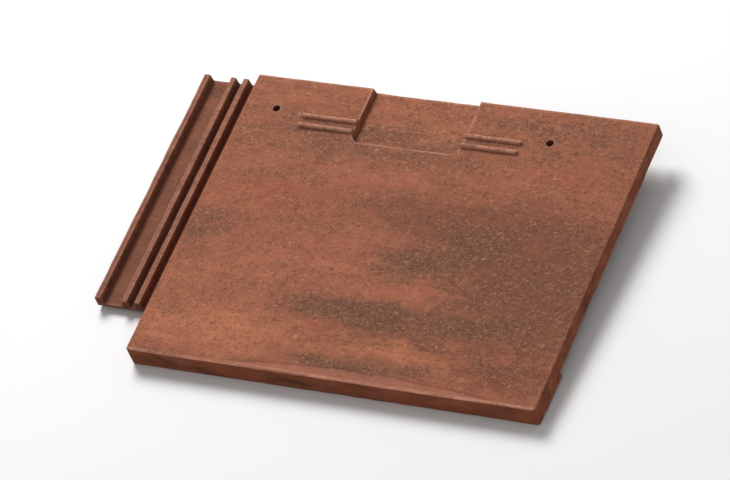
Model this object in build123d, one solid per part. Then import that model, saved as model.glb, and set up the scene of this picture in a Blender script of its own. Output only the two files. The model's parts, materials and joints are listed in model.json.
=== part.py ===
from build123d import *
import math
import os

# Flat interlocking clay roof tile, pressed and fired in one piece. Sizes are in millimetres.
# It is drawn as it is pressed: x runs along the course, y runs up the slope from the front edge,
# and z stands off the weather face, which lies at z = 0. At the end it is turned to lie as it
# would on a level floor, on its front edge and its two nibs.

# How the tiles are laid
COVER_WIDTH = 292.0           # from one side joint to the next
JOINT_GAP = 1.5               # open joint between two tiles of a course
GAUGE = 149.0                 # from one front edge to the next course's

# Outline
LENGTH = 232.0                # front edge to head edge
UNDERLOCK_WIDTH = 43.5        # ribbed ledge on the left, covered by the next tile
UNDERLOCK_SETBACK = 41.0      # the ledge stops this far short of the front edge

# Thicknesses, all below the weather face
BODY_DEPTH = 12.0
NOSE_DEPTH = 16.0             # full height of the front edge
FLANGE_DEPTH = 6.0            # thin overlock above the next tile's ledge

# Side lock
LOCK_CLEARANCE = 0.9
RIB_HEIGHT = 6.0
LEDGE_FLOOR = 5.6
LEDGE_BEVEL = 3.0             # under the ledge's front end
RIB_DRAFT = 8.0               # degrees
RIM_WIDTH = 4.5
CHANNEL_WIDTH = 15.5
RIB_WIDTH = 4.0
GROOVE_WIDTH = 5.5
DOWNSTAND_WIDTH = 5.0
LOCK_WEB = 7.0                # wall under the face's left edge that carries the ledge
WEB_FOOT = 1.0                # added where the wall meets the body
RIB_ROUND = 0.8
ARRIS_ROUND = 1.0             # side edges of the weather face

# Front edge
NOSE_WIDTH = 28.0
NOSE_SLOPE = 4.0
FRONT_ROUND = 2.2             # upper arris of the front edge
FOOT_ROUND = 1.4              # lower arris of the front edge and of the nibs
CHECK_GROOVES = 2             # weather checks across the underside of the front edge
CHECK_WIDTH = 3.0
CHECK_DEPTH = 1.6
CHECK_START = 9.0
CHECK_PITCH = 8.0

# Head
RECESS_CLEARANCE = 2.0        # under the side lock of the course above
RECESS_CLEAR_LEFT = 16.0
RECESS_CLEAR_RIGHT = 8.0
RECESS_CLEAR_FRONT = 2.0
RECESS_ROUND = 6.0
RECESS_DRAFT = 12.0           # degrees
RECESS_BACKING = 10.5         # clay left under the recess
RECESS_BACKING_MARGIN = 7.0
WEATHER_BARS = 2
BAR_START = 193.0
BAR_PITCH = 8.0
BAR_WIDTH = 3.6
BAR_HEIGHT = 2.0
BAR_LENGTH = 42.0
BAR_DRAFT = 20.0              # degrees

# Nibs, their seats on the batten and the nail holes
SEAT_CLEARANCE = 0.5          # the seats stand this far below the side lock
SEAT_WIDTH = 50.0
SEAT_LENGTH = 44.0
SEAT_INSET = 12.0             # from the face's left edge, and from the overlock on the right
SEAT_DRAFT = 15.0             # degrees
NIB_WIDTH = 26.0
NIB_THICKNESS = 14.0
NIB_DROP = 12.0
NIB_DRAFT = 6.0               # degrees
NIB_OFFSET = 10.0             # nib's middle from the middle of its seat, towards the recess
NAIL_RADIUS = 2.5
NAIL_FROM_HEAD = 26.0
NAIL_OFFSET = 13.0            # nail hole from the middle of its seat, away from the recess

# Stiffening ribs on the underside
STIFFENER_POSITIONS = 3
STIFFENER_WIDTH = 9.0
STIFFENER_DEPTH = 5.0
STIFFENER_DRAFT = 15.0        # degrees
STIFFENER_GAP = 3.0           # from the course below

# Drawing aids: how far a cutting block reaches past the clay, how closely places are told
# apart, and how much straight end is left between the two rounds of a bar or rib
OVERRUN = 1.0
TOLERANCE = 0.01
STRAIGHT_END = 0.2

# Places that follow from the sizes
lock_depth = FLANGE_DEPTH + LOCK_CLEARANCE + RIB_HEIGHT + LEDGE_FLOOR
seat_depth = lock_depth + SEAT_CLEARANCE
recess_depth = lock_depth - NOSE_DEPTH + RECESS_CLEARANCE
floor_top = LEDGE_FLOOR - lock_depth
rib_top = floor_top + RIB_HEIGHT
tip_level = floor_top + LOCK_CLEARANCE
right_edge = COVER_WIDTH - JOINT_GAP
ledge_left = -UNDERLOCK_WIDTH
next_ledge = COVER_WIDTH - UNDERLOCK_WIDTH
body_right = next_ledge - JOINT_GAP
rib_slope = RIB_HEIGHT * math.tan(math.radians(RIB_DRAFT))
web_slope = (lock_depth - BODY_DEPTH) * math.tan(math.radians(RIB_DRAFT)) + WEB_FOOT
lap = LENGTH - GAUGE

# Rib edges on the ledge, measured from its outer edge
rib_1_left = RIM_WIDTH + CHANNEL_WIDTH
rib_1_right = rib_1_left + RIB_WIDTH
rib_2_left = rib_1_right + GROOVE_WIDTH
rib_2_right = rib_2_left + RIB_WIDTH


def box_between(x, y, z):
    """A block between two values on each axis."""
    centre = ((x[0] + x[1]) / 2, (y[0] + y[1]) / 2, (z[0] + z[1]) / 2)
    return Pos(*centre) * Box(x[1] - x[0], y[1] - y[0], z[1] - z[0])


def tapered_rib(left, right, foot, tip):
    """Corners of a rib seen end on, narrower at its tip than at its foot."""
    return [(left - rib_slope, foot), (left, tip), (right, tip), (right + rib_slope, foot)]


def long_section():
    """Section across the tile: ribbed ledge, body and grooved overlock."""
    upper = [
        (ledge_left, rib_top),
        (ledge_left + RIM_WIDTH, rib_top),
        (ledge_left + RIM_WIDTH + rib_slope, floor_top),
        *tapered_rib(ledge_left + rib_1_left, ledge_left + rib_1_right, floor_top, rib_top),
        *tapered_rib(ledge_left + rib_2_left, ledge_left + rib_2_right, floor_top, rib_top),
        (0, floor_top),
    ]
    channel_middle = next_ledge + RIM_WIDTH + CHANNEL_WIDTH / 2
    foot_gap = rib_slope + LOCK_CLEARANCE
    downstands = [
        (channel_middle - DOWNSTAND_WIDTH / 2, channel_middle + DOWNSTAND_WIDTH / 2),
        (next_ledge + rib_1_right + foot_gap, next_ledge + rib_2_left - foot_gap),
    ]
    lip_left = next_ledge + rib_2_right + foot_gap
    lower = [(right_edge, tip_level), (lip_left, tip_level), (lip_left - rib_slope, -FLANGE_DEPTH)]
    for left, right in reversed(downstands):
        lower += reversed(tapered_rib(left, right, -FLANGE_DEPTH, tip_level))
    lower += [(body_right, -FLANGE_DEPTH), (body_right, -BODY_DEPTH)]
    lower += [(LOCK_WEB + web_slope, -BODY_DEPTH), (LOCK_WEB, -lock_depth)]
    face_edges = [(0, 0), (right_edge, 0)]
    outline = [(ledge_left, -lock_depth), *upper, *face_edges, *lower]
    section = make_face(Polyline(*outline, close=True))
    on_face = section.vertices().filter_by_position(Axis.Y, -TOLERANCE, TOLERANCE)
    section = fillet(on_face, ARRIS_ROUND)
    sharp = [v for v in section.vertices() if v.Y < -ARRIS_ROUND - TOLERANCE]
    return fillet(sharp, RIB_ROUND)


def plate():
    """The section run up the slope, with the ledge cut back behind the front edge."""
    solid = extrude(Plane.XZ * long_section(), amount=-LENGTH)
    before_ledge = (-OVERRUN, UNDERLOCK_SETBACK)
    below = -lock_depth - OVERRUN
    solid -= box_between((ledge_left - OVERRUN, 0), before_ledge, (below, OVERRUN))
    web_right = LOCK_WEB + web_slope + OVERRUN
    solid -= box_between((-OVERRUN, web_right), before_ledge, (below, -NOSE_DEPTH))
    bevel = [(UNDERLOCK_SETBACK - OVERRUN, below)]
    bevel += [(UNDERLOCK_SETBACK - OVERRUN, LEDGE_BEVEL + OVERRUN - lock_depth)]
    bevel += [(UNDERLOCK_SETBACK + LEDGE_BEVEL + OVERRUN, below)]
    bevel_left = ledge_left - OVERRUN
    wedge = Plane.YZ.offset(bevel_left) * make_face(Polyline(*bevel, close=True))
    return solid - extrude(wedge, amount=web_right - bevel_left)


def nose():
    """The deep front edge, its weather checks and the full-depth corner under the overlock."""
    lower = [(0, -NOSE_DEPTH)]
    for i in range(CHECK_GROOVES):
        start = CHECK_START + i * CHECK_PITCH
        lower += [(start, -NOSE_DEPTH), (start + CHECK_DEPTH / 2, CHECK_DEPTH - NOSE_DEPTH)]
        end = start + CHECK_WIDTH
        lower += [(end - CHECK_DEPTH / 2, CHECK_DEPTH - NOSE_DEPTH), (end, -NOSE_DEPTH)]
    inside = -FLANGE_DEPTH / 2
    upper = [(NOSE_WIDTH, -NOSE_DEPTH), (NOSE_WIDTH + NOSE_SLOPE, -BODY_DEPTH)]
    upper += [(NOSE_WIDTH + NOSE_SLOPE, inside), (0, inside)]
    profile = make_face(Polyline(*lower, *upper, close=True))
    bar = extrude(Plane.YZ * profile, amount=right_edge)
    corner_end = UNDERLOCK_SETBACK - JOINT_GAP
    corner_start = NOSE_WIDTH - NOSE_SLOPE
    corner = box_between((body_right, right_edge), (corner_start, corner_end), (-NOSE_DEPTH, inside))
    return bar + corner


def rounded_front(solid):
    """Eased arrises along the front edge, above and below."""
    across = solid.edges().filter_by(Axis.X)
    at_front = across.filter_by_position(Axis.Y, -TOLERANCE, TOLERANCE)
    high = at_front.filter_by_position(Axis.Z, -TOLERANCE, TOLERANCE)
    solid = fillet(high, FRONT_ROUND)
    across = solid.edges().filter_by(Axis.X)
    at_front = across.filter_by_position(Axis.Y, -TOLERANCE, TOLERANCE)
    low = at_front.filter_by_position(Axis.Z, -NOSE_DEPTH - TOLERANCE, TOLERANCE - NOSE_DEPTH)
    return fillet(low, FOOT_ROUND)


recess_left = COVER_WIDTH / 2 - UNDERLOCK_WIDTH - RECESS_CLEAR_LEFT
recess_right = COVER_WIDTH / 2 + LOCK_WEB + web_slope + RECESS_CLEAR_RIGHT
recess_front = GAUGE + UNDERLOCK_SETBACK - RECESS_CLEAR_FRONT
recess_middle = (recess_left + recess_right) / 2
recess_width = recess_right - recess_left
left_seat = SEAT_INSET + SEAT_WIDTH / 2
right_seat = body_right - SEAT_INSET - SEAT_WIDTH / 2
seat_front = LENGTH - SEAT_LENGTH


def head_recess():
    """Room in the head for the side lock of the course above, open at the head edge."""
    reach = 2 * (LENGTH - recess_front)
    floor = Pos(recess_middle, LENGTH, -recess_depth) * RectangleRounded(recess_width, reach, RECESS_ROUND)
    return extrude(floor, amount=2 * recess_depth, taper=-RECESS_DRAFT)


def recess_backing():
    """Thickening under the recess, which keeps the clay whole there."""
    width = recess_width + 2 * RECESS_BACKING_MARGIN
    front = recess_front - RECESS_BACKING_MARGIN
    depth = recess_depth + RECESS_BACKING - BODY_DEPTH
    middle = (front + LENGTH) / 2
    base = Pos(recess_middle, middle, -BODY_DEPTH) * Rectangle(width, LENGTH - front)
    block = extrude(base, amount=-depth, taper=SEAT_DRAFT)
    return block + box_between(
        (recess_left, recess_right), (middle, LENGTH), (-BODY_DEPTH - depth, -BODY_DEPTH)
    )


def weather_bars():
    """Low bars across the face on both sides of the recess."""
    bars = Part()
    end_round = (BAR_WIDTH - STRAIGHT_END) / 2
    for i in range(WEATHER_BARS):
        y = BAR_START + i * BAR_PITCH + BAR_WIDTH / 2
        for x in (recess_left - BAR_LENGTH / 2, recess_right + BAR_LENGTH / 2):
            foot = Pos(x, y, 0) * RectangleRounded(BAR_LENGTH, BAR_WIDTH, end_round)
            bars += extrude(foot, amount=BAR_HEIGHT, taper=BAR_DRAFT)
            bars += Pos(0, 0, -OVERRUN) * extrude(foot, amount=OVERRUN)
    return bars


def seat_and_nib(seat_middle, inward):
    """Flat seat on the batten with its hanging nib; inward is the side that faces the recess."""
    middle = Pos(seat_middle, LENGTH - SEAT_LENGTH / 2, -BODY_DEPTH)
    seat_height = seat_depth - BODY_DEPTH
    seat = extrude(middle * Rectangle(SEAT_WIDTH, SEAT_LENGTH), amount=-seat_height, taper=SEAT_DRAFT)
    flush = seat_height * math.tan(math.radians(SEAT_DRAFT))
    seat += box_between(
        (seat_middle - SEAT_WIDTH / 2 + flush, seat_middle + SEAT_WIDTH / 2 - flush),
        (LENGTH - NIB_THICKNESS, LENGTH),
        (-seat_depth, -BODY_DEPTH),
    )
    nib_middle = Pos(seat_middle + inward * NIB_OFFSET, LENGTH - NIB_THICKNESS / 2, -seat_depth)
    nib = extrude(nib_middle * Rectangle(NIB_WIDTH, NIB_THICKNESS), amount=-NIB_DROP, taper=NIB_DRAFT)
    return seat + fillet(nib.faces().sort_by(Axis.Z)[0].edges(), FOOT_ROUND)


def nail_hole(seat_middle, inward):
    """Straight hole through the seat for a nail into the batten."""
    place = Pos(seat_middle - inward * NAIL_OFFSET, LENGTH - NAIL_FROM_HEAD, -seat_depth / 2)
    return place * Cylinder(NAIL_RADIUS, 2 * seat_depth)


def stiffeners():
    """Ribs up the underside, from the course below to the seats and the thickening of the recess."""
    ribs = Part()
    start = lap + STIFFENER_GAP
    span = (right_seat - left_seat) / (STIFFENER_POSITIONS - 1)
    for i in range(STIFFENER_POSITIONS):
        meets_seat = i in (0, STIFFENER_POSITIONS - 1)
        end = seat_front if meets_seat else recess_front - RECESS_BACKING_MARGIN
        place = Pos(left_seat + i * span, (start + end) / 2, -BODY_DEPTH)
        rib_length = end - start + STIFFENER_WIDTH
        foot = place * RectangleRounded(STIFFENER_WIDTH, rib_length, (STIFFENER_WIDTH - STRAIGHT_END) / 2)
        ribs += extrude(foot, amount=-STIFFENER_DEPTH, taper=STIFFENER_DRAFT)
    return ribs


def pressed_tile():
    """The whole tile as it is pressed, weather face level at z = 0."""
    tile = rounded_front(plate() + nose())
    tile += recess_backing()
    tile += stiffeners()
    tile += weather_bars()
    for seat_middle, inward in ((left_seat, 1), (right_seat, -1)):
        tile += seat_and_nib(seat_middle, inward)
        tile -= nail_hole(seat_middle, inward)
    return tile - head_recess()


# On a floor the tile lies on the front arrises of its nibs and on whichever is lower in front of
# them, the front edge or the ledge's end. The arrises have one round, so sharp corners give the slope.
nib_front = LENGTH - NIB_THICKNESS + NIB_DROP * math.tan(math.radians(NIB_DRAFT))
nib_bottom = seat_depth + NIB_DROP
front_supports = [(0, NOSE_DEPTH), (UNDERLOCK_SETBACK + LEDGE_BEVEL, lock_depth)]
rest_slope = min((nib_bottom - depth) / (nib_front - y) for y, depth in front_supports)
rest_tilt = math.degrees(math.atan(rest_slope))

lying = Rot(X=rest_tilt) * pressed_tile()
bounds = lying.bounding_box()
footprint_middle = Pos(-bounds.center().X, -bounds.center().Y, -bounds.min.Z)
roof_tile = footprint_middle * lying

os.makedirs("parts", exist_ok=True)
export_step(roof_tile, "parts/roof_tile.step")
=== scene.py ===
import json
import math

import bmesh
import bpy
from mathutils import Matrix, Vector
from mathutils.kdtree import KDTree


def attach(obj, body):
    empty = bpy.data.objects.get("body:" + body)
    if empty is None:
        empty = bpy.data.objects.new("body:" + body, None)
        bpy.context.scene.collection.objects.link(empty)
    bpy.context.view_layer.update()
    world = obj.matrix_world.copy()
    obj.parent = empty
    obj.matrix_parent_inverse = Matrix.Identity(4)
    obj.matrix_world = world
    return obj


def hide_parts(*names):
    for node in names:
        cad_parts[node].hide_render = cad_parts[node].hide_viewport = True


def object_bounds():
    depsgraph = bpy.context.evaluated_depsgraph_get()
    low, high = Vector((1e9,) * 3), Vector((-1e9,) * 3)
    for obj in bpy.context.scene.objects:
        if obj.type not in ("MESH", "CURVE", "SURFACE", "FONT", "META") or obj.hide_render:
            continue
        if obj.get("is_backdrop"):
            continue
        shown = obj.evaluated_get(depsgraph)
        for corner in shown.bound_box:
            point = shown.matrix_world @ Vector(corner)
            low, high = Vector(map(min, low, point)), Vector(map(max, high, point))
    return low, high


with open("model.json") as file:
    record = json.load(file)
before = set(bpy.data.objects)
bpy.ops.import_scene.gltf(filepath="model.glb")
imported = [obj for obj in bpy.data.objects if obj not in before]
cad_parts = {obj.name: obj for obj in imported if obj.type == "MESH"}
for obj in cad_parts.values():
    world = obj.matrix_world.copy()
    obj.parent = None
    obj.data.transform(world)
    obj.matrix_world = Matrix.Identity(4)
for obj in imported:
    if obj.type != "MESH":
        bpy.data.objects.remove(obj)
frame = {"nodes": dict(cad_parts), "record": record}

cad_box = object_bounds()

# Sizes of the tile that the dressing lines up with, in metres
LEDGE_WIDTH = 0.0435
GAUGE = 0.149
LENGTH = 0.232
FACE_WIDTH = cad_box[1].x - cad_box[0].x - LEDGE_WIDTH

# How finely the clay is divided before its relief is pressed in, closer together behind the front edge
FACE_STEP = 0.0024
FRONT_STEP = 0.001
FRONT_BAND = 0.013
WALL_STEP = 0.0022
EDGE_STEP = 0.001
SAME_POINT = 0.000001
SLIVER = 0.00004
FLAT_ANGLE = math.radians(0.5)
SHARP_ANGLE = math.radians(8)
SMOOTH_ANGLE = math.radians(28)

# The relief's depths and reach in metres, its sand by radius in metres and number per square metre, its
# shares and its seed, named as the node tree's inputs are
RELIEF = {
    "Undulation": 0.00035,
    "Grain": 0.00007,
    "Wiping": 0.0003,
    "Unevenness of walls": 0.45,
    "Arris wear": 0.0004,
    "Arris reach": 0.0026,
    "Chip depth": 0.0011,
    "Sand per area": 38000.0,
    "Smallest sand": 0.00014,
    "Largest sand": 0.00042,
    "Seed": 3.0,
}

# Strip along an arris that the undulation spares, and how often neighbouring points share their push
EVEN_EDGE = 0.002
SHARED_ROUNDS = 2

# Band wiped along the front edge, widest in the middle of the tile, and the furrow and line at its border
BAND_MIDDLE = 0.160
BAND_REACH = 0.140
BAND_WIDEST = 0.0098
BAND_NARROWEST = 0.0022
BAND_WANDER = 0.004
BAND_FADE = 0.002
TONE_FADE = 0.0015
FURROW_WIDTH = 0.0014
LINE_CORE = 0.0002
LINE_WIDTH = 0.0012

# Sand pressed into the face, where that is level, and not into what lies deeper than it. It stays clear
# of the edges, and of the head, where it would stand too high. The grains differ in build, turn and tone,
# and the power of a chance keeps most of them small
SAND_MARGIN = 0.0015
HEAD_MARGIN = 0.007
SAND_REACH = LENGTH - HEAD_MARGIN
DEEPEST_SAND = 0.001
LEVEL_FACE = 0.97
FLATTEST_GRAIN = (0.7, 0.7, 0.5)
ROUNDEST_GRAIN = (1.2, 1.2, 0.9)
LARGEST_TURN = (0.5, 0.5, 6.28)
SMALLNESS_POWER = 2.5
GRAIN_TONES = (0.05, 1.0)
TONE_SEED = 4
FINE_SAND_PER_METRE = 1400.0

# Noises: squeeze along the tile's axes, scale per metre, detail and roughness, and a seed where they
# don't take the relief's. The knocks' seed is added to the relief's
EVEN = (1.0, 1.0, 1.0)
SLOW_SAG = (EVEN, 16.0, 1.0, 0.5)
FINE_GRAIN = (EVEN, 330.0, 2.0, 0.6)
WIPED_LINES = ((0.04, 1.0, 1.0), 420.0, 2.0, 0.55)
BITES = (EVEN, 70.0, 1.0, 0.5)
KNOCKS = (EVEN, 38.0, 1.0, 0.5)
KNOCKS_SEED = 5.0
SAND_DRIFTS = ((0.6, 1.2, 1.0), 60.0, 3.0, 0.6)
BAND_BORDER = ((1.0, 0.0, 0.0), 28.0, 1.0, 0.5, 3.0)
PATCH_WANDER = ((0.6, 1.2, 1.2), 34.0, 3.0, 0.6, 1.0)
STREAKS = ((0.42, 1.3, 1.3), 62.0, 5.0, 0.68, 4.0)
OTHER_STREAKS = ((0.42, 1.3, 1.3), 80.0, 4.0, 0.62, 12.0)
CLOUDS = (EVEN, 11.0, 2.0, 0.5, 15.0)
BLOTCHES = ((0.8, 1.2, 1.2), 310.0, 3.0, 0.7, 2.0)
FLECKS = ((0.7, 1.1, 1.1), 430.0, 1.0, 0.5, 21.0)
GRAINS = (EVEN, 820.0, 2.0, 0.6, 5.0)
CLUMPS = ((0.8, 1.1, 1.1), 110.0, 2.0, 0.75, 33.0)
BARE_CLOUDS = ((0.4, 1.0, 1.0), 70.0, 4.0, 0.6, 9.0)
CALM_CLOUDS = (EVEN, 40.0, 4.0, 0.65, 27.0)
ROUGH_SKIN = (EVEN, 1100.0, 3.0, 0.7, 6.0)

# How far the patches' borders stray along the course, and up the slope as a share of that
PATCH_STRAY = 0.05
STRAY_SHARES = (1.0, 0.45, 0.0)

# Mottling of the face by kind: each patch's middle and half size (x, y) in metres, and its strength
PATCHES = {
    "ochre": (
        ((0.052, 0.026), (0.070, 0.022), 1.35),
        ((0.182, 0.031), (0.062, 0.010), 1.0),
        ((0.232, 0.019), (0.036, 0.012), 0.8),
        ((0.018, 0.070), (0.034, 0.020), 0.6),
        ((0.150, 0.205), (0.060, 0.014), 0.8),
        ((0.036, 0.132), (0.040, 0.010), 0.7),
    ),
    "rust": (
        ((0.050, 0.138), (0.065, 0.018), 1.1),
        ((0.070, 0.104), (0.056, 0.010), 0.7),
        ((0.118, 0.036), (0.022, 0.014), 0.9),
        ((0.250, 0.180), (0.050, 0.016), 0.8),
    ),
    "pink": (
        ((0.098, 0.086), (0.074, 0.024), 0.75),
        ((0.186, 0.076), (0.040, 0.010), 1.1),
        ((0.262, 0.030), (0.030, 0.012), 0.6),
        ((0.110, 0.165), (0.080, 0.014), 0.7),
    ),
    "brown": (
        ((0.262, 0.088), (0.062, 0.070), 1.25),
        ((0.215, 0.122), (0.060, 0.030), 0.9),
        ((0.150, 0.138), (0.062, 0.018), 0.85),
        ((0.246, 0.022), (0.050, 0.014), 0.6),
        ((0.008, 0.092), (0.024, 0.020), 0.6),
        ((0.156, 0.050), (0.060, 0.026), 0.6),
    ),
    "smoke": (
        ((0.128, 0.057), (0.046, 0.013), 1.35),
        ((0.182, 0.050), (0.050, 0.013), 0.9),
        ((0.168, 0.098), (0.034, 0.012), 1.25),
        ((0.228, 0.112), (0.094, 0.056), 0.5),
        ((0.205, 0.116), (0.030, 0.014), 0.6),
        ((0.254, 0.062), (0.064, 0.044), 0.35),
        ((0.232, 0.056), (0.026, 0.010), 0.5),
        ((0.010, 0.106), (0.026, 0.016), 1.0),
        ((0.166, 0.013), (0.062, 0.008), 1.25),
        ((0.090, 0.190), (0.090, 0.024), 0.95),
        ((0.230, 0.210), (0.070, 0.022), 0.7),
    ),
}

# Plain tones of the clay and the studio, given as a screen shows them from 0 to 255
TONES = {
    "face": (152, 90, 64),
    "lighter face": (169, 102, 74),
    # The bare clay's tones are deepened past its own colour as painted shade and painted red bounce light
    "bare clay": (118, 61, 40),
    "lighter bare clay": (164, 92, 64),
    "studio floor": (158, 152, 146),
    "white": (250, 250, 250),
}

# Coats laid over the clay: the tone, mixed and given as above, and the share that it hides of what is below
COATS = {
    "pink": ((179, 105, 80), 0.75),
    "rust": ((164, 89, 62), 0.65),
    "ochre": ((190, 117, 82), 0.8),
    "brown": ((118, 69, 49), 0.84),
    "cloud": ((122, 74, 54), 1.0),
    "smoke": ((92, 67, 48), 0.74),
    "pale blotch": ((184, 122, 94), 0.55),
    "deep blotch": ((100, 57, 41), 0.85),
    "fleck": ((95, 54, 40), 0.7),
    "dark grain": ((84, 50, 38), 0.65),
    "light grain": ((206, 150, 124), 0.4),
    "pale fine sand": ((206, 143, 109), 0.27),
    "dark fine sand": ((84, 46, 32), 0.46),
    "wiped band": ((178, 114, 92), 0.4),
    "wiped line": ((98, 64, 50), 0.75),
    "dark bare cloud": ((80, 47, 34), 0.7),
    "bare streak": ((178, 106, 78), 1.0),
    "bare blotch": ((182, 116, 90), 0.5),
    "dark bare grain": ((70, 40, 30), 0.45),
    "bare fleck": ((88, 50, 38), 0.3),
    "light bare grain": ((204, 144, 114), 0.22),
    # The ledge coat is painted shade over the lower, recessed ledge
    "ledge": ((86, 59, 47), 0.46),
    # The arris coat is rubbed wear together with a painted highlight, strongest where the arris faces up
    "rubbed and highlit arris": ((212, 152, 126), 1.0),
    # The corner coat is painted shade in the tile's inner corners
    "painted corner shade": ((84, 48, 36), 0.5),
    "pale sand": ((208, 156, 131), 0.75),
    "dark sand": ((80, 55, 45), 0.75),
}

# Along the course, where the spray gets its full strength and where the painted shade on the ledge sets in.
# Up the slope, where the front edge ends
SPRAY_BORDER = (-0.004, 0.002)
LEDGE_SHADE_BORDER = (-0.001, -0.006)
FRONT_BORDER = (0.002, 0.006)

# Width of what is rubbed off an arris, with a painted highlight on it, and of the painted shade in a corner
RUBBED_AND_HIGHLIT_WIDTH = 0.002
CORNER_SHADE_WIDTH = 0.0022

# Finish of the clay: its roughness at the smooth and at the rough blotches, its shine and its bump
SMOOTH_BLOTCH = 0.8
ROUGH_BLOTCH = 0.96
CLAY_SHINE = 0.3
BUMP_STRENGTH = 0.6
BUMP_DEPTH = 0.0007

# White background, the sky's light on the tile, and how far the floor shows the tile's shadow
BACKGROUND_WHITE = 1.0
SKY_STRENGTH = 0.32
SHADOW_REACH = 0.28
FLOOR_REACH = 6.0
FLOOR_ROUGHNESS = 0.9

# Lamps: direction as seen from the tile, distance and size in metres, and power in watts
LAMPS = {
    "sky_key": ((-0.45, 0.55, 0.8), 2.4, 1.1, 55.0),
    "front_fill": ((0.7, -0.9, 0.8), 3.0, 2.0, 3.5),
}

# Camera, turned as in the photo from the tile's own axes
VIEW_AZIMUTH = 40.3
VIEW_ELEVATION = 47.4
VIEW_ROLL = -24.1
VIEW_DISTANCE = 3.5
FRAME_WIDTH = 0.47
FARTHEST_SEEN = 50.0


def shader_tone(screen_tone):
    """A tone turned from a screen's scale, 0 to 255, into the shader's own."""
    parts = [c / 255 for c in screen_tone]
    return [c / 12.92 if c <= 0.04045 else ((c + 0.055) / 1.055) ** 2.4 for c in parts] + [1.0]


def in_use(sockets):
    """The value socket that a node has in use, where it has one for each type of data."""
    return next(s for s in sockets if s.name == "Value" and s.enabled)


class Wiring:
    """Adds nodes to a tree and links them, so that a formula can be read in one place."""

    def __init__(self, tree):
        self.tree = tree

    def node(self, kind, values=(), **settings):
        new = self.tree.nodes.new(kind)
        for name, setting in settings.items():
            setattr(new, name, setting)
        for socket, value in dict(values).items():
            self.feed(new.inputs[socket], value)
        return new

    def feed(self, socket, value):
        if isinstance(value, bpy.types.NodeSocket):
            self.tree.links.new(value, socket)
        else:
            socket.default_value = value

    def math(self, operation, *values):
        return self.node("ShaderNodeMath", enumerate(values), operation=operation).outputs[0]

    def times(self, a, b):
        return self.math("MULTIPLY", a, b)

    def plus(self, a, b):
        return self.math("ADD", a, b)

    def minus(self, a, b):
        return self.math("SUBTRACT", a, b)

    def larger(self, a, b):
        return self.math("MAXIMUM", a, b)

    def vector(self, operation, *values):
        return self.node("ShaderNodeVectorMath", enumerate(values), operation=operation).outputs[0]

    def scaled(self, vector, factor):
        values = {"Vector": vector, "Scale": factor}
        return self.node("ShaderNodeVectorMath", values, operation="SCALE").outputs[0]

    def length(self, vector):
        return self.node("ShaderNodeVectorMath", {0: vector}, operation="LENGTH").outputs["Value"]

    def parts(self, vector):
        return self.node("ShaderNodeSeparateXYZ", {0: vector}).outputs

    def step(self, value, low, high, from_value=0.0, to_value=1.0):
        """A smooth passage from one value to another while the input goes from low to high."""
        reach = {"From Min": low, "From Max": high, "To Min": from_value, "To Max": to_value}
        made = self.node("ShaderNodeMapRange", {"Value": value, **reach}, interpolation_type="SMOOTHSTEP")
        return made.outputs["Result"]

    def noise(self, place, squeeze, scale, detail, roughness, seed, output=0):
        """A noise from 0 to 1, drawn out along the axes where its squeeze is small."""
        squeezed = self.vector("MULTIPLY", place, squeeze)
        values = {"Vector": squeezed, "Scale": scale, "Detail": detail, "Roughness": roughness, "W": seed}
        return self.node("ShaderNodeTexNoise", values, noise_dimensions="4D").outputs[output]

    def blend(self, share, under, over):
        values = {0: share, 6: under, 7: over}
        return self.node("ShaderNodeMix", values, data_type="RGBA", blend_type="MIX").outputs[2]

    def between(self, one, other, share):
        """A colour between two plain tones."""
        return self.blend(share, shader_tone(TONES[one]), shader_tone(TONES[other]))

    def coat(self, under, where, name):
        """Lays a named coat over a colour, with its full cover where the given value is one."""
        screen_tone, cover = COATS[name]
        return self.blend(self.times(where, cover), under, shader_tone(screen_tone))


def behind_wiped_band(wire, place):
    """How far a place lies behind the wiped band's border, less than nothing inside the band."""
    parts = wire.parts(place)
    from_middle = wire.math("ABSOLUTE", wire.minus(parts["X"], BAND_MIDDLE))
    bow = wire.step(from_middle, 0.0, BAND_REACH, BAND_WIDEST, BAND_NARROWEST)
    wander = wire.times(wire.minus(wire.noise(place, *BAND_BORDER), 0.5), BAND_WANDER)
    return wire.minus(parts["Y"], wire.plus(bow, wander))


def pressed_frame():
    """Matrix from the tile's own axes (along the course, up the slope, off the face) to the row's."""
    face = next(m for m in frame["record"]["mounts"] if m["name"] == "weather_face")
    off_face = Vector(face["axis"]).normalized()
    along = Vector((1, 0, 0))
    up_slope = off_face.cross(along)
    corner = Vector(face["pos_m"]) - along * FACE_WIDTH / 2 - up_slope * GAUGE / 2
    matrix = Matrix((along, up_slope, off_face)).transposed().to_4x4()
    matrix.translation = corner
    return matrix


pressed_to_row = pressed_frame()
row_to_pressed = pressed_to_row.inverted()


def whole_clay():
    """The tile's solid as one closed mesh in its own axes, with flat faces in one piece."""
    source = frame["nodes"]["roof_tile"]
    clay = bmesh.new()
    clay.from_mesh(source.data)
    bmesh.ops.transform(clay, matrix=row_to_pressed, verts=clay.verts)
    bmesh.ops.remove_doubles(clay, verts=clay.verts, dist=SAME_POINT)
    bmesh.ops.dissolve_limit(clay, angle_limit=FLAT_ANGLE, verts=clay.verts, edges=clay.edges)
    return clay


def edge_points(clay, outward):
    """Points along the tile's sharp edges, either those that stand out or those in its corners."""
    points = []
    for edge in clay.edges:
        if len(edge.link_faces) != 2 or edge.is_convex != outward:
            continue
        if edge.calc_face_angle(0) > SHARP_ANGLE:
            a, b = (v.co for v in edge.verts)
            count = max(1, int((b - a).length / EDGE_STEP))
            points += [a.lerp(b, i / count) for i in range(count + 1)]
    tree = KDTree(len(points))
    for i, point in enumerate(points):
        tree.insert(point, i)
    tree.balance()
    return tree


def cuts(low, high, step):
    """Evenly spaced places from one step above low up to high."""
    return [low + i * step for i in range(1, int((high - low) / step) + 1)]


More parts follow.
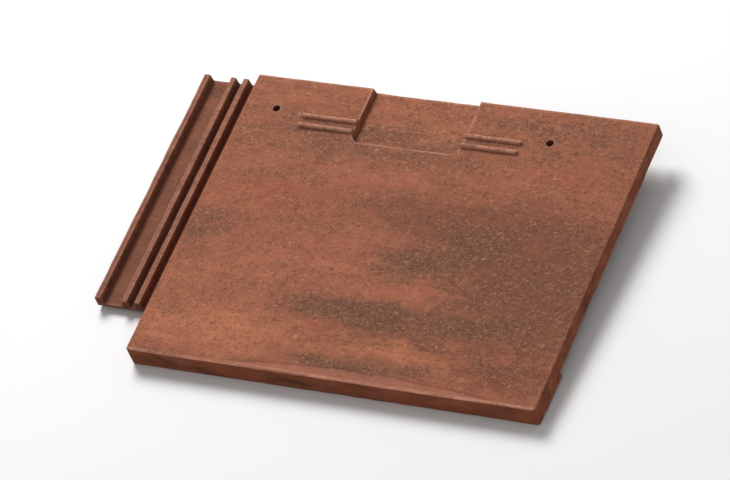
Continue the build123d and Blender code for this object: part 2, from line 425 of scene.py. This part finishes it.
def divide(clay):
    """Cuts the clay along planes across its three axes."""
    low = Vector(min(v.co[i] for v in clay.verts) for i in range(3))
    high = Vector(max(v.co[i] for v in clay.verts) for i in range(3))
    along = cuts(low.x, high.x, FACE_STEP)
    walls = cuts(low.z, high.z, WALL_STEP)
    up_slope = cuts(0.0, FRONT_BAND, FRONT_STEP) + cuts(FRONT_BAND, high.y, FACE_STEP)
    for axis, places in ((0, along), (2, walls), (1, up_slope)):
        normal = Vector((0, 0, 0))
        normal[axis] = 1
        for place in places:
            everything = clay.verts[:] + clay.edges[:] + clay.faces[:]
            plane = {"plane_co": normal * place, "plane_no": normal}
            bmesh.ops.bisect_plane(clay, geom=everything, dist=SAME_POINT, **plane)
    bmesh.ops.dissolve_degenerate(clay, dist=SLIVER, edges=clay.edges)
    bmesh.ops.triangulate(clay, faces=[f for f in clay.faces if len(f.verts) > 4])
    bmesh.ops.dissolve_degenerate(clay, dist=SLIVER, edges=clay.edges)


def clay_piece():
    """The divided tile as an object, with each point's distance from the nearest arris and corner."""
    clay = whole_clay()
    edges = {"arris_distance": edge_points(clay, True), "corner_distance": edge_points(clay, False)}
    divide(clay)
    mesh = bpy.data.meshes.new("roof_tile_clay")
    clay.to_mesh(mesh)
    clay.free()
    for name, points in edges.items():
        distance = mesh.attributes.new(name, "FLOAT", "POINT")
        distance.data.foreach_set("value", [points.find(v.co)[2] for v in mesh.vertices])
    piece = bpy.data.objects.new("roof_tile_clay", mesh)
    bpy.context.scene.collection.objects.link(piece)
    return piece


class ClayRelief(Wiring):
    """Geometry nodes for the relief that hands, sand and wear leave in the clay."""

    def __init__(self, tree):
        super().__init__(tree)
        self.given = self.node("NodeGroupInput").outputs
        self.seed = self.given["Seed"]
        self.place = self.node("GeometryNodeInputPosition").outputs[0]
        self.normal = self.node("GeometryNodeInputNormal").outputs[0]
        self.facing_up = self.parts(self.normal)["Z"]
        self.on_face = self.step(self.facing_up, 0.6, 0.95)
        name = {"Name": "arris_distance"}
        self.arris = self.node("GeometryNodeInputNamedAttribute", name, data_type="FLOAT").outputs[0]

    def undulation(self):
        """How deep the surface sags, less on the walls and not at all along the arrises."""
        slow = self.noise(self.place, *SLOW_SAG, self.seed)
        sag = self.times(self.step(slow, 0.3, 0.7), self.given["Undulation"])
        share = self.larger(self.on_face, self.given["Unevenness of walls"])
        return self.times(self.times(sag, share), self.step(self.arris, 0.0, EVEN_EDGE))

    def wiping(self):
        """How deep the fine lines of the wiped band are, and the shallow furrow along its border."""
        behind = behind_wiped_band(self, self.place)
        in_band = self.step(behind, -BAND_FADE, 0.0, 1.0, 0.0)
        lines = self.step(self.noise(self.place, *WIPED_LINES, self.seed), 0.35, 0.65)
        wiped = self.times(in_band, self.plus(lines, 0.3))
        furrow = self.step(self.math("ABSOLUTE", behind), 0.0, FURROW_WIDTH, 0.8, 0.0)
        depth = self.times(self.larger(wiped, furrow), self.given["Wiping"])
        return self.times(depth, self.on_face)

    def wear(self):
        """How deep the arrises are rubbed and nibbled, with a few chips."""
        bites = self.step(self.noise(self.place, *BITES, self.seed), 0.35, 0.75)
        rubbed = self.times(bites, self.given["Arris wear"])
        knocks = self.step(self.noise(self.place, *KNOCKS, self.plus(self.seed, KNOCKS_SEED)), 0.68, 0.8)
        chipped = self.times(knocks, self.given["Chip depth"])
        near = self.step(self.arris, 0.0, self.given["Arris reach"], 1.0, 0.0)
        return self.times(near, self.plus(rubbed, chipped))

    def pressed_clay(self):
        """The clay with its relief pressed in."""
        fine = self.noise(self.place, *FINE_GRAIN, self.seed)
        grain = self.times(self.minus(fine, 1.0), self.given["Grain"])
        inward = self.plus(self.plus(self.undulation(), self.wiping()), self.wear())
        pushed = self.scaled(self.normal, self.minus(grain, inward))
        # Neighbouring points share their push, so that no face folds over
        rounds = {"Iterations": SHARED_ROUNDS}
        shared = self.node("GeometryNodeBlurAttribute", rounds, data_type="FLOAT_VECTOR")
        self.feed(in_use(shared.inputs), pushed)
        moved = self.vector("ADD", self.place, in_use(shared.outputs))
        # No point leaves the solid's box
        inside = self.vector("MAXIMUM", moved, self.given["Low corner"])
        inside = self.vector("MINIMUM", inside, self.given["High corner"])
        values = {"Geometry": self.given["Geometry"], "Position": inside}
        return self.node("GeometryNodeSetPosition", values).outputs[0]

    def sanded_place(self):
        """One on the weather face, away from its edges and from the head."""
        parts = self.parts(self.place)
        level = self.math("GREATER_THAN", self.facing_up, LEVEL_FACE)
        before_head = self.math("LESS_THAN", parts["Y"], SAND_REACH)
        on_top = self.math("GREATER_THAN", parts["Z"], -DEEPEST_SAND)
        off_edges = self.math("GREATER_THAN", self.arris, SAND_MARGIN)
        return self.times(self.times(level, before_head), self.times(on_top, off_edges))

    def drawn_number(self, low, high, seed=0):
        """A number drawn by chance for each grain."""
        values = {2: low, 3: high, "Seed": seed}
        return self.node("FunctionNodeRandomValue", values, data_type="FLOAT").outputs[1]

    def drawn_vector(self, low, high):
        """Three numbers drawn by chance for each grain, one for each axis."""
        values = {0: low, 1: high}
        return self.node("FunctionNodeRandomValue", values, data_type="FLOAT_VECTOR").outputs[0]

    def strewn_sand(self, clay):
        """Grains of sand, sunk into the clay by about half, most of them small, each of its own tone."""
        drifts = self.step(self.noise(self.place, *SAND_DRIFTS, self.seed), 0.35, 0.65, 0.35, 1.3)
        strewn = self.node("GeometryNodeDistributePointsOnFaces", {"Mesh": clay, "Seed": self.seed})
        self.feed(strewn.inputs["Selection"], self.sanded_place())
        self.feed(strewn.inputs["Density"], self.times(self.given["Sand per area"], drifts))
        few_large = self.math("POWER", self.drawn_number(0.0, 1.0), SMALLNESS_POWER)
        sizes = {"To Min": self.given["Smallest sand"], "To Max": self.given["Largest sand"]}
        size = self.node("ShaderNodeMapRange", {"Value": few_large, **sizes}).outputs["Result"]
        shape = self.node("GeometryNodeMeshIcoSphere", {"Radius": 1.0, "Subdivisions": 1})
        sand = self.node("GeometryNodeInstanceOnPoints", {"Points": strewn.outputs["Points"]})
        self.feed(sand.inputs["Instance"], shape.outputs["Mesh"])
        self.feed(sand.inputs["Rotation"], self.drawn_vector((0, 0, 0), LARGEST_TURN))
        build = self.drawn_vector(FLATTEST_GRAIN, ROUNDEST_GRAIN)
        self.feed(sand.inputs["Scale"], self.scaled(build, size))
        values = {"Geometry": sand.outputs[0], "Name": "sand_tone"}
        toned = self.node("GeometryNodeStoreNamedAttribute", values, data_type="FLOAT", domain="INSTANCE")
        self.feed(in_use(toned.inputs), self.drawn_number(*GRAIN_TONES, TONE_SEED))
        return toned.outputs[0]

    def finish(self):
        """Joins the sand to the clay and gives both the fired clay's material."""
        clay = self.pressed_clay()
        together = self.node("GeometryNodeJoinGeometry")
        self.feed(together.inputs[0], self.strewn_sand(clay))
        self.feed(together.inputs[0], clay)
        whole = self.node("GeometryNodeRealizeInstances", {0: together.outputs[0]})
        values = {"Geometry": whole.outputs[0], "Material": self.given["Clay"]}
        coated = self.node("GeometryNodeSetMaterial", values)
        self.node("NodeGroupOutput", {0: coated.outputs[0]})


def relief_tree():
    """The relief's node tree, with a named input for each of its sizes."""
    tree = bpy.data.node_groups.new("clay_relief", "GeometryNodeTree")
    tree.interface.new_socket("Geometry", in_out="INPUT", socket_type="NodeSocketGeometry")
    for name, value in RELIEF.items():
        made = tree.interface.new_socket(name, in_out="INPUT", socket_type="NodeSocketFloat")
        made.default_value = value
    for name in ("Low corner", "High corner"):
        tree.interface.new_socket(name, in_out="INPUT", socket_type="NodeSocketVector")
    tree.interface.new_socket("Clay", in_out="INPUT", socket_type="NodeSocketMaterial")
    tree.interface.new_socket("Geometry", in_out="OUTPUT", socket_type="NodeSocketGeometry")
    ClayRelief(tree).finish()
    return tree


def pressed_relief(piece, material):
    """Runs the relief nodes on the piece and returns the result as a plain mesh object."""
    tree = relief_tree()
    modifier = piece.modifiers.new("clay_relief", "NODES")
    modifier.node_group = tree
    identifiers = {s.name: s.identifier for s in tree.interface.items_tree if s.in_out == "INPUT"}
    corners = [Vector(c) for c in piece.bound_box]
    modifier[identifiers["Low corner"]] = [min(c[i] for c in corners) for i in range(3)]
    modifier[identifiers["High corner"]] = [max(c[i] for c in corners) for i in range(3)]
    modifier[identifiers["Clay"]] = material
    shaped = piece.evaluated_get(bpy.context.evaluated_depsgraph_get())
    mesh = bpy.data.meshes.new_from_object(shaped)
    mesh.name = "fired_roof_tile"
    fired = bpy.data.objects.new("fired_roof_tile", mesh)
    bpy.context.scene.collection.objects.link(fired)
    bpy.data.objects.remove(piece)
    return fired


class ClayFinish(Wiring):
    """Shader nodes for the fired clay: noises that the layers share, and the layers of colour."""

    def __init__(self, tree):
        super().__init__(tree)
        given = self.node("ShaderNodeTexCoord").outputs
        turn = self.node("ShaderNodeMapping", {"Vector": given["Object"]}, vector_type="POINT")
        turn.inputs["Location"].default_value = row_to_pressed.translation
        turn.inputs["Rotation"].default_value = row_to_pressed.to_euler()
        self.place = turn.outputs[0]
        parts = self.parts(self.place)
        self.along, self.up_slope = parts["X"], parts["Y"]
        self.lift = self.parts(given["Normal"])["Z"]

        # Patches keep to a place that strays, so that their borders wander
        three_noises = self.noise(self.place, *PATCH_WANDER, output=1)
        wander = self.vector("SUBTRACT", three_noises, (0.5, 0.5, 0.5))
        stray = self.vector("MULTIPLY", self.scaled(wander, PATCH_STRAY), STRAY_SHARES)
        self.strayed = self.vector("ADD", self.place, stray)

        # Noises of each size: streaks along the course, sand blotches, flecks and single grains
        self.streaks = self.noise(self.place, *STREAKS)
        self.other_streaks = self.noise(self.place, *OTHER_STREAKS)
        self.blotches = self.noise(self.place, *BLOTCHES)
        self.flecks = self.noise(self.place, *FLECKS)
        self.grains = self.noise(self.place, *GRAINS)
        values = {"Vector": self.place, "Scale": FINE_SAND_PER_METRE}
        self.fine_sand = self.node("ShaderNodeTexVoronoi", values).outputs

        # Sand gathers in the smoke, and where the clay shows its own colour the face is smoother
        self.broken = self.swing(self.streaks, 3.2)
        self.other_broken = self.swing(self.other_streaks, 2.8)
        self.sandy = self.swing(self.blotches, 1.6)
        smoke = self.plus(self.plus(self.patches("smoke"), self.broken), self.sandy)
        self.smoke = self.step(smoke, -0.1, 1.55)
        self.sanded = self.step(self.plus(self.smoke, self.broken), -0.4, 0.7, 0.3, 1.0)
        fleck_edge = self.minus(0.63, self.times(self.sanded, 0.05))
        self.flecked = self.step(self.flecks, fleck_edge, 0.72)
        dark_edge = self.minus(0.66, self.times(self.smoke, 0.1))
        self.dark = self.step(self.grains, dark_edge, self.plus(dark_edge, 0.07))
        self.light = self.larger(self.step(self.grains, 0.4, 0.28), self.step(self.flecks, 0.36, 0.27))

        # The spray reaches the face and, more weakly, the ledge
        over_ledge = self.step(self.along, *SPRAY_BORDER, 0.6, 1.0)
        self.sprayed = self.times(self.step(self.lift, 0.3, 0.8), over_ledge)

    def swing(self, noise, reach):
        """A noise turned into a swing to both sides of nothing."""
        return self.times(self.minus(noise, 0.5), reach)

    def patches(self, kind):
        """How strongly the patches of one kind lie at a place, before noise breaks up their borders."""
        total = 0.0
        for middle, half, strength in PATCHES[kind]:
            centred = self.vector("SUBTRACT", self.strayed, (middle[0], middle[1], 0.0))
            oval = self.vector("MULTIPLY", centred, (1 / half[0], 1 / half[1], 0.0))
            total = self.plus(total, self.step(self.length(oval), 0.1, 1.5, strength, 0.0))
        return total

    def add_patches(self, under, kind, breaking, low=0.25, high=1.2):
        """Lays the patches of one kind over a colour, with their borders broken up into streaks."""
        return self.coat(under, self.step(self.plus(self.patches(kind), breaking), low, high), kind)

    def fired_face(self):
        """The fired colours of the face, drawn out along the course."""
        colour = self.between("face", "lighter face", self.step(self.other_streaks, 0.32, 0.68))
        colour = self.add_patches(colour, "pink", self.minus(0.0, self.broken))
        colour = self.add_patches(colour, "rust", self.other_broken)
        colour = self.add_patches(colour, "ochre", self.minus(0.0, self.other_broken))
        colour = self.add_patches(colour, "brown", self.other_broken, 0.1, 1.1)
        clouds = self.noise(self.place, *CLOUDS)
        colour = self.coat(colour, self.step(clouds, 0.3, 0.7, 0.04, 0.26), "cloud")
        return self.coat(colour, self.smoke, "smoke")

    def add_fine_sand(self, colour):
        """Sand over the face: blotches, flecks, grains, and fine sand with a tone for each grain."""
        pale = self.step(self.blotches, 0.5, 0.68)
        colour = self.coat(colour, self.times(pale, self.sanded), "pale blotch")
        deep = self.step(self.blotches, 0.5, 0.34)
        colour = self.coat(colour, self.times(deep, self.sanded), "deep blotch")
        colour = self.coat(colour, self.flecked, "fleck")
        colour = self.coat(colour, self.dark, "dark grain")
        colour = self.coat(colour, self.light, "light grain")
        chance = self.node("ShaderNodeSeparateColor", {0: self.fine_sand["Color"]}).outputs[0]
        pale = self.step(chance, 0.65, 1.0)
        colour = self.coat(colour, self.times(pale, self.sanded), "pale fine sand")
        dark = self.step(chance, 0.35, 0.0)
        colour = self.coat(colour, self.times(dark, self.sanded), "dark fine sand")
        # It lies a little thicker and thinner in clumps, which are lighter and darker
        clumps = self.noise(self.place, *CLUMPS)
        return self.scaled(colour, self.step(clumps, 0.25, 0.75, 0.86, 1.11))

    def add_wiped_band(self, colour):
        """The wiped band behind the front edge, with the dark line that the wiping leaves."""
        behind = behind_wiped_band(self, self.place)
        colour = self.coat(colour, self.step(behind, 0.0, -TONE_FADE), "wiped band")
        line = self.step(self.math("ABSOLUTE", behind), LINE_CORE, LINE_WIDTH, 1.0, 0.0)
        faint = self.step(self.plus(self.other_streaks, self.sandy), 0.2, 0.9)
        return self.coat(colour, self.times(line, faint), "wiped line")

    def bare_clay_with_painted_shade(self):
        """The bare clay of walls, underside and ledge, redder than the sprayed face, its own colour
        deepened as painted shade and painted red bounce light.
        """
        # The underside is calmer: it has round, weak clouds and hardly any streaks
        underneath = self.step(self.lift, -0.2, -0.8)
        cloud = self.noise(self.place, *BARE_CLOUDS)
        calm_cloud = self.plus(self.times(self.noise(self.place, *CALM_CLOUDS), 0.55), 0.245)
        cloud = self.plus(cloud, self.times(self.minus(calm_cloud, cloud), underneath))
        colour = self.between("bare clay", "lighter bare clay", self.step(cloud, 0.3, 0.7))
        colour = self.coat(colour, self.step(cloud, 0.44, 0.3), "dark bare cloud")
        streaked = self.step(self.other_streaks, 0.48, 0.66)
        streaked = self.times(streaked, self.step(underneath, 0.0, 1.0, 0.55, 0.2))
        colour = self.coat(colour, streaked, "bare streak")
        colour = self.coat(colour, self.step(self.blotches, 0.5, 0.75), "bare blotch")
        colour = self.coat(colour, self.dark, "dark bare grain")
        colour = self.coat(colour, self.flecked, "bare fleck")
        return self.coat(colour, self.light, "light bare grain")

    def add_wear_and_painted_light(self, colour):
        """The ledge gets painted shade, arrises are rubbed pale, partly as a painted highlight, and inner
        corners get painted shade.
        """
        # Painted shade over the ledge
        on_ledge = self.step(self.along, *LEDGE_SHADE_BORDER)
        colour = self.coat(colour, on_ledge, "ledge")
        # Arrises rubbed pale: real wear, and a painted highlight that favours the upward sides
        arris = self.node("ShaderNodeAttribute", attribute_name="arris_distance").outputs["Fac"]
        rubbed = self.step(arris, 0.0, RUBBED_AND_HIGHLIT_WIDTH, 1.0, 0.0)
        rubbed = self.times(rubbed, self.step(self.blotches, 0.35, 0.6, 0.35, 1.0))
        highlit_upper_side = self.step(self.lift, 0.6, 0.92)
        highlit_upper_side = self.times(highlit_upper_side, self.step(self.other_streaks, 0.4, 0.6, 0.25, 0.75))
        behind_front = self.times(self.step(self.up_slope, *FRONT_BORDER), 0.7)
        rubbed = self.times(rubbed, self.larger(highlit_upper_side, behind_front))
        rubbed = self.times(rubbed, self.step(on_ledge, 0.0, 1.0, 1.0, 0.5))
        colour = self.coat(colour, rubbed, "rubbed and highlit arris")
        # Painted shade in the inner corners
        corner = self.node("ShaderNodeAttribute", attribute_name="corner_distance").outputs["Fac"]
        return self.coat(colour, self.step(corner, 0.0, CORNER_SHADE_WIDTH, 1.0, 0.0), "painted corner shade")

    def add_large_sand(self, colour):
        """The larger grains of sand are pale or dark by chance. Clay that isn't sand has the tone 0."""
        sand_tone = self.node("ShaderNodeAttribute", attribute_name="sand_tone").outputs["Fac"]
        colour = self.coat(colour, self.step(sand_tone, 0.62, 0.9), "pale sand")
        dark = self.step(sand_tone, 0.42, 0.25)
        return self.coat(colour, self.times(dark, self.step(sand_tone, 0.0, 0.04)), "dark sand")

    def bump(self):
        """The rough skin of the clay, with a small dome for each grain of the fine sand."""
        skin = self.noise(self.place, *ROUGH_SKIN)
        height = self.plus(self.times(skin, 0.6), self.times(self.blotches, 0.9))
        domes = self.step(self.fine_sand["Distance"], 0.0, 0.7, 0.16, 0.0)
        height = self.plus(height, self.times(domes, self.sprayed))
        values = {"Height": height, "Strength": BUMP_STRENGTH, "Distance": BUMP_DEPTH}
        return self.node("ShaderNodeBump", values).outputs[0]


def fired_clay():
    """Sanded terracotta, mottled smoky, brown, rust, ochre and pink on the face and bare elsewhere."""
    material = bpy.data.materials.new("fired_clay")
    material.use_nodes = True
    material.node_tree.nodes.clear()
    clay = ClayFinish(material.node_tree)
    face = clay.add_wiped_band(clay.add_fine_sand(clay.fired_face()))
    colour = clay.blend(clay.sprayed, clay.bare_clay_with_painted_shade(), face)
    colour = clay.add_large_sand(clay.add_wear_and_painted_light(colour))
    shader = clay.node("ShaderNodeBsdfPrincipled", {"Base Color": colour})
    clay.feed(shader.inputs["Roughness"], clay.step(clay.blotches, 0.2, 0.8, SMOOTH_BLOTCH, ROUGH_BLOTCH))
    clay.feed(shader.inputs["Specular IOR Level"], CLAY_SHINE)
    clay.feed(shader.inputs["Normal"], clay.bump())
    clay.node("ShaderNodeOutputMaterial", {"Surface": shader.outputs[0]})
    return material


def roof_tile():
    """The fired tile, standing for the solid on the row's only body."""
    fired = pressed_relief(clay_piece(), fired_clay())
    fired.data.transform(pressed_to_row)
    fired.data.shade_smooth()
    fired.data.set_sharp_from_angle(angle=SMOOTH_ANGLE)
    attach(fired, "root")
    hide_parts("roof_tile")


def background_ray(wire):
    """One where a ray shows the background: seen by the camera, or in metal or glass."""
    path = wire.node("ShaderNodeLightPath").outputs
    mirrored = wire.larger(path["Is Glossy Ray"], path["Is Transmission Ray"])
    return wire.larger(path["Is Camera Ray"], mirrored)


def floor_paint():
    """Paint that looks pale to the camera, and passes into white away from the tile's shadow."""
    paint = bpy.data.materials.new("pale_floor")
    paint.use_nodes = True
    nodes = paint.node_tree.nodes
    wire = Wiring(paint.node_tree)
    seen = background_ray(wire)
    shader = nodes["Principled BSDF"]
    wire.feed(shader.inputs["Base Color"], wire.between("studio floor", "white", seen))
    shader.inputs["Roughness"].default_value = FLOOR_ROUGHNESS
    from_tile = wire.length(wire.node("ShaderNodeTexCoord").outputs["Object"])
    away = wire.times(seen, wire.step(from_tile, SHADOW_REACH, 2 * SHADOW_REACH))
    white = wire.node("ShaderNodeEmission", {"Strength": BACKGROUND_WHITE})
    mixed = wire.node("ShaderNodeMixShader", {0: away, 1: shader.outputs[0], 2: white.outputs[0]})
    wire.feed(nodes["Material Output"].inputs["Surface"], mixed.outputs[0])
    return paint


def studio_floor():
    """Plain floor that keeps the tile's shadow."""
    mesh = bpy.data.meshes.new("studio_floor")
    corners = [(x * FLOOR_REACH, y * FLOOR_REACH, 0) for x, y in ((-1, -1), (1, -1), (1, 1), (-1, 1))]
    mesh.from_pydata(corners, [], [(0, 1, 2, 3)])
    mesh.materials.append(floor_paint())
    floor = bpy.data.objects.new("studio_floor", mesh)
    bpy.context.scene.collection.objects.link(floor)
    floor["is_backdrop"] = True


def soft_lamp(name, direction, distance, size, power):
    """A square lamp that shines on the tile from the given direction."""
    light = bpy.data.lights.new(name, "AREA")
    light.size = size
    light.energy = power
    lamp = bpy.data.objects.new(name, light)
    toward = Vector(direction).normalized()
    lamp.location = toward * distance
    lamp.rotation_mode = "QUATERNION"
    lamp.rotation_quaternion = toward.to_track_quat("Z", "Y")
    bpy.context.scene.collection.objects.link(lamp)


def studio_light():
    """Soft light from above and behind on the left, as in the photo, with a weak even fill."""
    for name, settings in LAMPS.items():
        soft_lamp(name, *settings)
    world = bpy.data.worlds.new("studio")
    world.use_nodes = True
    wire = Wiring(world.node_tree)
    sky = world.node_tree.nodes["Background"]
    sky.inputs["Color"].default_value = (1, 1, 1, 1)
    strength = wire.step(background_ray(wire), 0.0, 1.0, SKY_STRENGTH, BACKGROUND_WHITE)
    wire.feed(sky.inputs["Strength"], strength)
    bpy.context.scene.world = world


def photo_camera():
    """A camera turned to the tile as in the photo, with a longer lens so that one tile fills it."""
    azimuth, elevation = math.radians(VIEW_AZIMUTH), math.radians(VIEW_ELEVATION)
    flat = Vector((math.sin(azimuth), -math.cos(azimuth), 0))
    back = flat * math.cos(elevation) + Vector((0, 0, math.sin(elevation)))
    aim = back.to_track_quat("Z", "Y").to_matrix() @ Matrix.Rotation(math.radians(VIEW_ROLL), 3, "Z")
    turned = (pressed_to_row.to_3x3() @ aim).to_4x4()
    low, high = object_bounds()
    turned.translation = (low + high) / 2 + turned.to_3x3() @ Vector((0, 0, VIEW_DISTANCE))
    camera_data = bpy.data.cameras.new("photo_camera")
    camera_data.lens = camera_data.sensor_width * VIEW_DISTANCE / FRAME_WIDTH
    camera_data.clip_end = FARTHEST_SEEN
    camera = bpy.data.objects.new("photo_camera", camera_data)
    camera.matrix_world = turned
    bpy.context.scene.collection.objects.link(camera)
    bpy.context.scene.camera = camera


roof_tile()
studio_floor()
studio_light()
photo_camera()
bpy.context.scene.view_settings.view_transform = "Standard"
